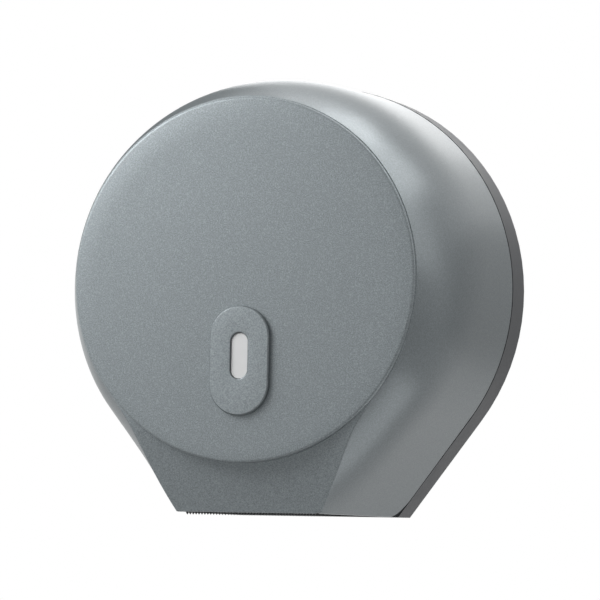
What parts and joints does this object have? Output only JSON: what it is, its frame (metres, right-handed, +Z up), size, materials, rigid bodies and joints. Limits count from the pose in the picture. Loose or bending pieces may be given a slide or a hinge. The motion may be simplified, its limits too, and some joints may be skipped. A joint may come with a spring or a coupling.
{
  "type": "jumbo toilet roll dispenser",
  "caption": "Wall-mounted round dispenser for a jumbo toilet roll, with a forward-tipping locked cover, a level window and a serrated tear edge.",
  "frame": {"origin": "where the axis of the roll meets the wall, at the centre of the four wall slots", "axes": "+Z up, +X to the right seen from the front, +Y into the wall; the front faces -Y"},
  "size_m": [0.27, 0.153, 0.2819],
  "materials": {
    "silver_plastic": "silver metallic paint, satin",
    "dark_plastic": "satin",
    "hub_plastic": "satin",
    "milky_plastic": "milky, lets some light through",
    "steel": "zinc plated",
    "rubber": "matte",
    "cardboard": "matte",
    "paper": "soft, matte"
  },
  "bodies": {
    "tray": {"base_plate": "dark_plastic", "hinge_pin_left": "steel", "hinge_pin_right": "steel", "spindle_post": "dark_plastic", "spindle_screws": "steel", "friction_washer": "rubber", "hub_washer": "steel", "hub_screw": "steel", "lock_strike": "steel", "strike_screws": "steel"},
    "cover": {"front_cover": "silver_plastic", "window_bezel": "silver_plastic", "window_pane": "milky_plastic", "pane_retainer": "dark_plastic", "retainer_screws": "steel", "tear_strip": "dark_plastic", "tear_strip_screws": "steel", "lock_housing": "dark_plastic", "housing_screws": "steel"},
    "lock": {"lock_barrel": "steel", "lock_cam": "steel", "cam_screw": "steel"},
    "roll": {"roll_hub": "hub_plastic", "roll_core": "cardboard", "paper_roll": "paper"}
  },
  "joints": [
    {"name": "cover_hinge", "type": "hinge", "parent": "tray", "child": "cover", "pos_m": [0, -0.0315, -0.136], "axis": [1, 0, 0], "range_deg": [0, 90]},
    {"name": "lock_turn", "type": "hinge", "parent": "cover", "child": "lock", "pos_m": [0, -0.05, 0.12], "axis": [0, 0, 1], "range_deg": [0, 90]},
    {"name": "roll_spin", "type": "hinge", "parent": "tray", "child": "roll", "pos_m": [0, -0.07, 0], "axis": [0, -1, 0], "continuous": true}
  ]
}
